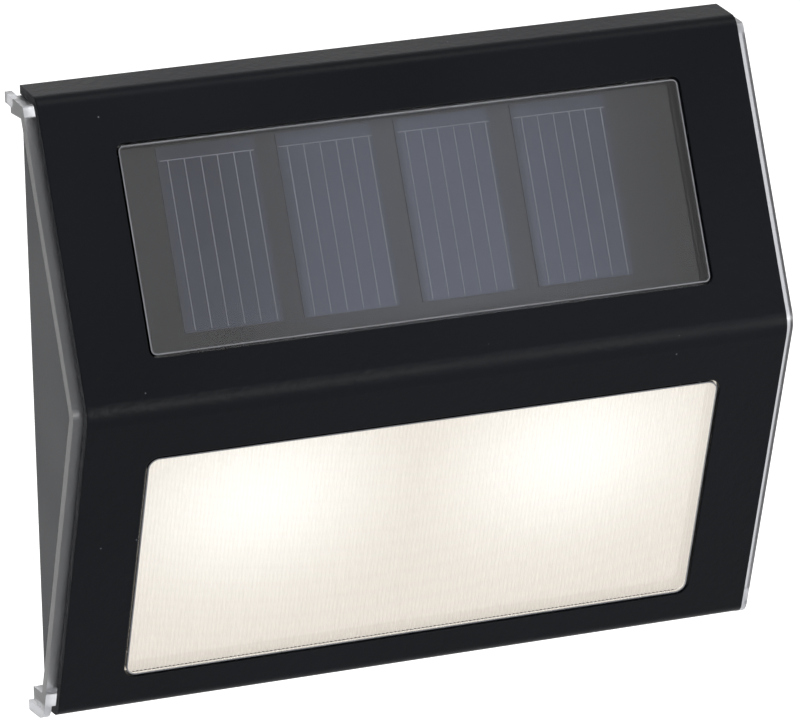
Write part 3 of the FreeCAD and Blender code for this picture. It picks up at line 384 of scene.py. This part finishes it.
material, tree, place = start_finish("lit_opal_acrylic")
parts = add_node(tree, "ShaderNodeSeparateXYZ", {}, {0: place})
from_pair = add_node(tree, "ShaderNodeMath", {"operation": "ADD"},
                     {0: parts.outputs["X"], 1: LAMPS_LEFT})
across = add_node(tree, "ShaderNodeMath", {"operation": "ABSOLUTE"}, {0: from_pair.outputs[0]})
off_x = add_node(tree, "ShaderNodeMapRange", {"clamp": False},
                 {0: across.outputs[0], 1: LAMP_X, 2: LAMP_X + SPREAD_X})
off_z = add_node(tree, "ShaderNodeMapRange", {"clamp": False},
                 {0: parts.outputs["Z"], 1: LAMP_Z, 2: LAMP_Z + SPREAD_Z})
square_x = add_node(tree, "ShaderNodeMath", {"operation": "MULTIPLY"},
                    {0: off_x.outputs[0], 1: off_x.outputs[0]})
square = add_node(tree, "ShaderNodeMath", {"operation": "MULTIPLY_ADD"},
                  {0: off_z.outputs[0], 1: off_z.outputs[0], 2: square_x.outputs[0]})
glow = add_node(tree, "ShaderNodeMath", {"operation": "POWER"}, {0: GLOW_FALL, 1: square.outputs[0]})
warmth = add_node(tree, "ShaderNodeMix", {"data_type": "RGBA"},
                  {0: glow.outputs[0], 6: linear("#eae0d2"), 7: linear("#fffcf3")})
power = add_node(tree, "ShaderNodeMapRange", {},
                 {0: glow.outputs[0], 1: 0.0, 2: 1.0, 3: EDGE_POWER, 4: LAMP_POWER})
opal = add_node(tree, "ShaderNodeBsdfPrincipled", {},
                {"Emission Color": warmth.outputs[2], "Emission Strength": power.outputs[0],
                 "Roughness": 0.45})
opal.inputs["Base Color"].default_value = linear("#6f6a62")
opal.inputs["IOR"].default_value = 1.49
add_node(tree, "ShaderNodeOutputMaterial", {}, {"Surface": opal.outputs[0]})
finishes["lit_diffuser"] = material
print(material.name, len(tree.nodes), "nodes")

# %% [markdown]
# ## Screws, rubber and foam
# The screws are zinc-plated steel with a faint blue cast, the seals are soft black rubber with a
# dry bloom, and the frame round the panel is closed-cell foam, whose cut skin is full of tiny pits.

# %% Screws, seals and foam
finishes["zinc_steel"] = grained("zinc_plated_steel", "#9ea3a8", "#c3c7ca", rough=0.34, patch=1.6,
                                 grain=0.12, relief=0.004, metal=1.0, edge=0.08)
finishes["black_rubber"] = grained("black_rubber", "#161617", "#232324", rough=0.72, patch=5.0,
                                   grain=0.3, relief=0.01, level=0.35)
finishes["black_foam"] = grained("closed_cell_foam", "#131314", "#232325", rough=0.9, patch=3.0,
                                 grain=0.25, relief=0.06, level=0.2)

# %% [markdown]
# ## Inner mouldings and switch
# The reflector tray is glossy white ABS, the switch is a nickel-plated stamped can with a black
# nylon knob.

# %% Tray, switch and knob
finishes["white_plastic"] = grained("white_abs", "#dcdcd8", "#ebebe8", rough=0.3, patch=16.0, grain=0.5,
                                    relief=0.004)
finishes["switch_metal"] = grained("stamped_nickel_steel", "#a5a39e", "#c5c3bd", rough=0.3, patch=2.5,
                                   grain=0.15, relief=0.004, metal=1.0, edge=0.06)
finishes["black_plastic"] = grained("black_nylon", "#131314", "#202022", rough=0.45, patch=4.0,
                                    grain=0.2, relief=0.012, edge=0.1)

# %% [markdown]
# ## Electronics
# Chips and resistors are black moulded epoxy, the coil core is dull grey ferrite, the capacitor tan
# ceramic, and the contacts nickel-plated spring steel. The lamps are small yellow phosphor domes.

# %% Small electronic parts
finishes["black_resin"] = grained("black_epoxy", "#18181a", "#262628", rough=0.55, patch=2.0, grain=0.1,
                                  relief=0.006, edge=0.05)
finishes["ferrite"] = grained("ferrite", "#2f2f31", "#424244", rough=0.5, patch=1.5, grain=0.12,
                              relief=0.01, edge=0.08)
finishes["tan_ceramic"] = grained("tan_ceramic", "#a97c4a", "#c2945e", rough=0.35, patch=1.4, grain=0.1,
                                  relief=0.004, edge=0.06)
finishes["nickel_plate"] = grained("nickel_plated_spring_steel", "#a8a69f", "#cfccc4", rough=0.26,
                                   patch=3.0, grain=0.2, relief=0.004, metal=1.0, edge=0.06)

material, tree, place = start_finish("phosphor_resin")
fleck = add_node(tree, "ShaderNodeTexNoise", {}, {"Vector": place, "Scale": per_mm(0.5), "Detail": 1.0})
resin = add_node(tree, "ShaderNodeMix", {"data_type": "RGBA"},
                 {0: fleck.outputs["Fac"], 6: linear("#f0d98a"), 7: linear("#fbeeb8")})
dome = add_node(tree, "ShaderNodeBsdfPrincipled", {},
                {"Base Color": resin.outputs[2], "Emission Color": resin.outputs[2], "Roughness": 0.2})
dome.inputs["Emission Strength"].default_value = 1.5
dome.inputs["IOR"].default_value = 1.5
add_node(tree, "ShaderNodeOutputMaterial", {}, {"Surface": dome.outputs[0]})
finishes["lamp_resin"] = material
print(material.name, len(tree.nodes), "nodes")

# %% [markdown]
# ## Circuit boards
# A board is glass fibre under a coloured lacquer. Copper tracks under the lacquer show as slightly
# lighter lines that run straight and turn at right angles. Brick texture lines give that look from
# one node.


# %% Boards
def lacquered_board(name, ground, track, pitch):
    """Lacquer over copper: lighter brick lines, pitch millimetres apart, on the ground colour."""
    material, tree, place = start_finish(name)
    flat = add_node(tree, "ShaderNodeMapping", {},
                    {"Vector": place, "Rotation": (math.pi / 2, 0.0, 0.0)})
    lines = add_node(tree, "ShaderNodeTexBrick", {"offset": 0.5},
                     {"Vector": flat.outputs[0], "Scale": per_mm(pitch), "Mortar Size": 0.05,
                      "Color1": linear(ground), "Color2": linear(ground), "Mortar": linear(track),
                      "Brick Width": 1.7, "Row Height": 0.8})
    speck = add_node(tree, "ShaderNodeTexNoise", {},
                     {"Vector": place, "Scale": per_mm(0.6), "Detail": 1.0})
    gloss = add_node(tree, "ShaderNodeMapRange", {}, {0: speck.outputs["Fac"], 3: 0.25, 4: 0.4})
    bump = add_node(tree, "ShaderNodeBump", {}, {"Strength": 0.4, "Distance": 0.03 * MM,
                                                 "Height": lines.outputs["Fac"]})
    board = add_node(tree, "ShaderNodeBsdfPrincipled", {},
                     {"Base Color": lines.outputs["Color"], "Roughness": gloss.outputs[0],
                      "Normal": bump.outputs[0]})
    board.inputs["IOR"].default_value = 1.5
    add_node(tree, "ShaderNodeOutputMaterial", {}, {"Surface": board.outputs[0]})
    print(name, ground, "with lines", track)
    return material


finishes["green_board"] = lacquered_board("green_lacquered_board", "#14492c", "#2c7048", 2.4)
finishes["white_board"] = lacquered_board("white_lacquered_board", "#e4e4e0", "#f2f2ee", 3.2)

# %% [markdown]
# ## Battery and wires
# A rechargeable cell wears a shrink sleeve that stops short of its steel ends. The sleeve is plain
# green with a lighter band at the positive end, and the place along the cell decides which of the
# three shows.

# %% Battery sleeve and wire insulation
SLEEVE_END = 23.4 * MM
BAND_START = 14.0 * MM

material, tree, place = start_finish("battery_sleeve")
parts = add_node(tree, "ShaderNodeSeparateXYZ", {}, {0: place})
along = add_node(tree, "ShaderNodeMath", {"operation": "ABSOLUTE"}, {0: parts.outputs["X"]})
bare = add_node(tree, "ShaderNodeMath", {"operation": "GREATER_THAN"},
                {0: along.outputs[0], 1: SLEEVE_END})
band = add_node(tree, "ShaderNodeMath", {"operation": "GREATER_THAN"},
                {0: parts.outputs["X"], 1: BAND_START})
sleeve = add_node(tree, "ShaderNodeMix", {"data_type": "RGBA"},
                  {0: band.outputs[0], 6: linear("#2f6b3d"), 7: linear("#c9cfc6")})
skin = add_node(tree, "ShaderNodeMix", {"data_type": "RGBA"},
                {0: bare.outputs[0], 6: sleeve.outputs[2], 7: linear("#b9bab8")})
wrinkle = add_node(tree, "ShaderNodeTexNoise", {},
                   {"Vector": place, "Scale": per_mm(2.2), "Detail": 2.0})
bump = add_node(tree, "ShaderNodeBump", {},
                {"Strength": 0.3, "Distance": 0.03 * MM, "Height": wrinkle.outputs["Fac"]})
cell = add_node(tree, "ShaderNodeBsdfPrincipled", {},
                {"Base Color": skin.outputs[2], "Metallic": bare.outputs[0], "Roughness": 0.3,
                 "Normal": bump.outputs[0]})
add_node(tree, "ShaderNodeOutputMaterial", {}, {"Surface": cell.outputs[0]})
finishes["battery_wrap"] = material
print(material.name, len(tree.nodes), "nodes")

finishes["red_wire"] = grained("red_pvc_insulation", "#8e1a18", "#a92420", rough=0.4, patch=3.0,
                               grain=0.3, relief=0.01)
finishes["black_wire"] = grained("black_pvc_insulation", "#151516", "#222224", rough=0.4, patch=3.0,
                                 grain=0.3, relief=0.01)
print(len(finishes), "finishes")

# %% [markdown]
# ## Dress the parts
# Each part names the material slot it is made of, so one loop gives every part its finish.

# %% Give every part its finish
slot_of = {piece["node"]: piece["material_slot"] for piece in frame["record"]["subparts"]}
for node_name, part in frame["nodes"].items():
    finish = finishes[slot_of[node_name]]
    if not part.material_slots:
        part.data.materials.append(finish)
    for place_in_list in part.material_slots:
        place_in_list.material = finish
print("dressed", len(slot_of), "parts")

# %% [markdown]
# ## New pieces
# The two front faces of the light are slanted planes. A point on one is its start corner, plus a
# distance down the slope, minus a depth along the outward direction. Two small helpers turn arrays
# of such points into meshes.

# %% Slanted faces as arrays
UPPER_FACE = {"start": (8.1, 44.9), "down": (0.360, -0.933), "out": (0.933, 0.360)}
LOWER_FACE = {"start": (24.25, 3.0), "down": (-0.333, -0.943), "out": (0.943, -0.333)}


def on_face(face, x, down, sunk):
    """Depth and Z are start + down * slope - sunk * out, Y is minus the depth, all in metres."""
    x, down, sunk = np.broadcast_arrays(x, down, sunk)
    depth = face["start"][0] + down * face["down"][0] - sunk * face["out"][0]
    height = face["start"][1] + down * face["down"][1] - sunk * face["out"][1]
    return np.stack([x, -depth, height], axis=-1) * MM


def shown(name, points, faces, finish):
    """Makes a piece from arrays of points and four-cornered faces, and puts it on the root."""
    mesh = bpy.data.meshes.new(name)
    mesh.from_pydata(points.reshape(-1, 3).tolist(), [], faces.reshape(-1, 4).tolist())
    mesh.shade_flat()
    mesh.materials.append(finish)
    piece = bpy.data.objects.new(name, mesh)
    bpy.context.scene.collection.objects.link(piece)
    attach(piece, "root")
    print(name, len(mesh.vertices), "points,", len(mesh.polygons), "faces")
    return piece


def boxes(face, x0, x1, down0, down1, sunk0, sunk1):
    """Many boxes at once: each takes eight corners from its three ranges, and has six faces."""
    ends = [np.atleast_1d(v).astype(float) for v in (x0, x1, down0, down1, sunk0, sunk1)]
    x0, x1, down0, down1, sunk0, sunk1 = np.broadcast_arrays(*ends)
    x = np.stack([x0, x1, x1, x0] * 2, axis=1)
    down = np.stack([down0, down0, down1, down1] * 2, axis=1)
    sunk = np.stack([sunk0] * 4 + [sunk1] * 4, axis=1)
    points = on_face(face, x, down, sunk)
    one = np.array([[0, 3, 2, 1], [4, 5, 6, 7], [0, 1, 5, 4], [1, 2, 6, 5], [2, 3, 7, 6], [3, 0, 4, 7]])
    return points, one[None] + 8 * np.arange(len(x0))[:, None, None]


# %% [markdown]
# ## Silver print on the cells
# Each cell carries six thin silver lines that collect the current, and a bar across their top that
# joins them. They are screen printed, a few hundredths of a millimetre thick. Real prints are about
# 0.1 mm wide; these are drawn 0.14 mm wide so that they show in the picture.

# %% Fingers and bars
FINGER_PITCH = 2.46
FINGER_WIDTH = 0.14
FIRST_FINGER = 1.55          # in from the cell's left edge
FINGER_TOP = 10.4
FINGER_END = 34.3
PRINT_FRONT = 3.02
PRINT_BACK = 3.06
BAR_INSET = 0.35
BAR_HALF = 0.06
cell_left = (FIRST_CELL - CELL_WIDTH / 2) / MM + np.arange(4) * CELL_PITCH / MM
finger_x = (cell_left[:, None] + FIRST_FINGER + np.arange(6)[None] * FINGER_PITCH).ravel()
points, faces = boxes(UPPER_FACE, finger_x - FINGER_WIDTH / 2, finger_x + FINGER_WIDTH / 2, FINGER_TOP,
                      FINGER_END, PRINT_FRONT, PRINT_BACK)
shown("cell_fingers", points, faces, finishes["printed_silver"])
points, faces = boxes(UPPER_FACE, cell_left + BAR_INSET, cell_left + CELL_WIDTH / MM - BAR_INSET,
                      FINGER_TOP - BAR_HALF, FINGER_TOP + BAR_HALF, PRINT_FRONT, PRINT_BACK)
shown("cell_bars", points, faces, finishes["printed_silver"])

# %% [markdown]
# ## Painted highlight round the windows
# The flat windows are polished. Just inside the dark gap round each one, a thin pale line is painted on
# as a highlight. A bevel would light up only from one side. A very thin light grey ring shows from
# everywhere: a rounded rectangle is the path, and a flat four-cornered profile is carried along it.

# %% Rings from a rounded rectangle
PAD_EDGE_SUNK = 0.14
PAD_EDGE_WIDTH = 0.2
PAD_EDGE_THICK = 0.04
SOLAR_PAD = (42.65, 7.85, 37.25, 0.85)       # half width, start, end and corner radius
LENS_PAD = (43.65, 8.15, 45.13, 1.65)
# The rings are a painted highlight in pale grey.
finishes["frosted_edge"] = grained("painted_highlight_grey", "#55565a", "#77787d", rough=0.5, patch=6.0,
                                   grain=0.3, relief=0.004)


def rounded_loop(half, start, end, corner, steps=8):
    """Each corner is a quarter circle, whose centre is one corner radius in from both sides."""
    angle = np.linspace(0, np.pi / 2, steps)
    turns = (angle[None] + np.pi / 2 * np.arange(4)[:, None]).ravel()
    centre_x = np.repeat([half - corner, corner - half, corner - half, half - corner], steps)
    centre_down = np.repeat([end - corner, end - corner, start + corner, start + corner], steps)
    return centre_x + corner * np.cos(turns), centre_down + corner * np.sin(turns)


def edge_ring(face, half, start, end, corner, width, sunk0, sunk1):
    """Four loops, outer and inner at both depths, joined round into a closed tube."""
    outer = rounded_loop(half, start, end, corner)
    inner = rounded_loop(half - width, start + width, end - width, corner - width)
    loops = [on_face(face, *outer, sunk0), on_face(face, *outer, sunk1), on_face(face, *inner, sunk1),
             on_face(face, *inner, sunk0)]
    count = len(outer[0])
    here = np.arange(count)
    after = (here + 1) % count
    faces = []
    for i in range(4):
        a, b = i * count, (i + 1) % 4 * count
        faces.append(np.stack([a + here, a + after, b + after, b + here], axis=1))
    return np.stack(loops), np.concatenate(faces)


points, faces = edge_ring(UPPER_FACE, *SOLAR_PAD, PAD_EDGE_WIDTH, PAD_EDGE_SUNK,
                          PAD_EDGE_SUNK + PAD_EDGE_THICK)
shown("solar_window_painted_highlight", points, faces, finishes["frosted_edge"])
points, faces = edge_ring(LOWER_FACE, *LENS_PAD, PAD_EDGE_WIDTH, PAD_EDGE_SUNK,
                          PAD_EDGE_SUNK + PAD_EDGE_THICK)
shown("lens_window_painted_highlight", points, faces, finishes["frosted_edge"])

# %% [markdown]
# ## Ribbed lens sheet
# The lens is one sheet whose front is a row of fine upright ribs, which break the light of the two
# lamps into soft streaks. It could be a bump map on a plain sheet, but real ribs keep their glint
# from any side. The front is a surface of two parameters: across, where the depth follows a cosine,
# and down the slope, where nothing changes.


# %% Ribs from a cosine
LENS_WIDTH, LENS_START, LENS_HEIGHT = 89.2, 6.5, 39.3
LENS_FRONT, LENS_BACK = 2.9, 4.1
RIB_PITCH, RIB_DEPTH = 0.62, 0.16
RIB_STEPS = 6                    # straight pieces that make one rib


def ribbed_sheet(width, start, height, front, back, pitch, relief, steps):
    """Depth = front + relief * (1 - cos(2 pi x / pitch)) / 2, x from the left edge; the back is flat."""
    count = int(round(width / pitch)) * steps + 1
    x = np.linspace(-width / 2, width / 2, count)
    wave = front + relief * (1 - np.cos(2 * np.pi * (x + width / 2) / pitch)) / 2
    down = np.array([start, start + height])
    front_points = on_face(LOWER_FACE, x[None], down[:, None], wave[None])
    back_points = on_face(LOWER_FACE, x[None], down[:, None], np.full(count, back)[None])
    points = np.concatenate([front_points, back_points])
    column = np.arange(count - 1)
    top, end, top_back, end_back = [row * count + column for row in range(4)]
    front_faces = np.stack([top, end, end + 1, top + 1], axis=1)
    back_faces = np.stack([top_back, top_back + 1, end_back + 1, end_back], axis=1)
    top_faces = np.stack([top, top + 1, top_back + 1, top_back], axis=1)
    end_faces = np.stack([end, end_back, end_back + 1, end + 1], axis=1)
    last = count - 1
    sides = np.array([[0, 2 * count, 3 * count, count],
                      [last, count + last, 3 * count + last, 2 * count + last]])
    return points, np.concatenate([front_faces, back_faces, top_faces, end_faces, sides])


points, faces = ribbed_sheet(LENS_WIDTH, LENS_START, LENS_HEIGHT, LENS_FRONT, LENS_BACK, RIB_PITCH,
                             RIB_DEPTH, RIB_STEPS)
lens = shown("ribbed_lens", points, faces, finishes["lit_diffuser"])
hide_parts("light_diffuser")

# %% [markdown]
# ## Floor and light
# A wide pale floor and four soft lamps make a plain studio. The floor and the sky look white to the
# camera, in gloss and through clear plastic, while the light they give stays moderate, so no colour
# is washed out. One small function tells such rays from those that only bring light.


# %% Floor
FLOOR_Z = -0.105
FLOOR_HALF = 6.0
FLOOR_LIFT = 0.5


def background_seen(tree):
    """1 for camera rays and rays in gloss or through plastic, 0 for rays that only bring light."""
    ray = add_node(tree, "ShaderNodeLightPath")
    seen = add_node(tree, "ShaderNodeMath", {"operation": "ADD", "use_clamp": True},
                    {0: ray.outputs["Is Camera Ray"], 1: ray.outputs["Is Glossy Ray"]})
    return add_node(tree, "ShaderNodeMath", {"operation": "ADD", "use_clamp": True},
                    {0: seen.outputs[0], 1: ray.outputs["Is Transmission Ray"]}).outputs[0]


corners = np.array([[-1.0, -1.0], [1.0, -1.0], [1.0, 1.0], [-1.0, 1.0]]) * FLOOR_HALF
points = np.column_stack([corners, np.full(4, FLOOR_Z)])
floor_mesh = bpy.data.meshes.new("floor")
floor_mesh.from_pydata(points.tolist(), [], [[0, 1, 2, 3]])
floor = bpy.data.objects.new("floor", floor_mesh)
bpy.context.scene.collection.objects.link(floor)
material, tree, place = start_finish("pale_floor")
tone = add_node(tree, "ShaderNodeTexNoise", {}, {"Vector": place, "Scale": 3.0})
paper = add_node(tree, "ShaderNodeMix", {"data_type": "RGBA"},
                 {0: tone.outputs["Fac"], 6: linear("#eeeeee"), 7: linear("#f2f2f2")})
matt = add_node(tree, "ShaderNodeBsdfDiffuse", {}, {"Color": paper.outputs[2]})
lift = add_node(tree, "ShaderNodeMath", {"operation": "MULTIPLY"},
                {0: background_seen(tree), 1: FLOOR_LIFT})
glow = add_node(tree, "ShaderNodeEmission", {}, {"Strength": lift.outputs[0]})
both = add_node(tree, "ShaderNodeAddShader", {}, {0: matt.outputs[0], 1: glow.outputs[0]})
add_node(tree, "ShaderNodeOutputMaterial", {}, {"Surface": both.outputs[0]})
floor_mesh.materials.append(material)
print("floor at", FLOOR_Z)

# %% World
WORLD_LIGHT = 0.62
world = bpy.data.worlds.new("studio")
bpy.context.scene.world = world
world.use_nodes = True
tree = world.node_tree
tree.nodes.clear()
level = add_node(tree, "ShaderNodeMapRange", {}, {0: background_seen(tree), 3: WORLD_LIGHT, 4: 1.0})
sky = add_node(tree, "ShaderNodeBackground", {},
               {"Color": (1.0, 1.0, 1.0, 1.0), "Strength": level.outputs[0]})
add_node(tree, "ShaderNodeOutputWorld", {}, {"Surface": sky.outputs[0]})
print("sky strength", WORLD_LIGHT)


# %% Lamps
def softbox(name, place, size, share):
    """A lamp aimed at the origin; a share of white at distance r takes share * pi^2 * r^2 watt."""
    data = bpy.data.lights.new(name, "AREA")
    data.shape = "SQUARE"
    data.size = size
    inward = Vector() - Vector(place)
    data.energy = share * math.pi ** 2 * inward.length ** 2
    lamp = bpy.data.objects.new(name, data)
    lamp.location = place
    lamp.rotation_mode = "QUATERNION"
    lamp.rotation_quaternion = inward.to_track_quat("-Z", "Y")
    bpy.context.scene.collection.objects.link(lamp)
    print(name, round(data.energy, 2), "watt")


softbox("key_softbox", (0.4, -0.75, 1.4), size=0.9, share=0.42)
softbox("bend_softbox", (0.6, -1.25, 0.02), size=0.3, share=0.4)
softbox("fill_softbox", (-1.1, -0.7, 0.5), size=0.9, share=0.1)
softbox("back_softbox", (0.0, 1.2, 0.8), size=0.9, share=0.12)

# %% Finish
bpy.context.scene.view_settings.view_transform = "Standard"
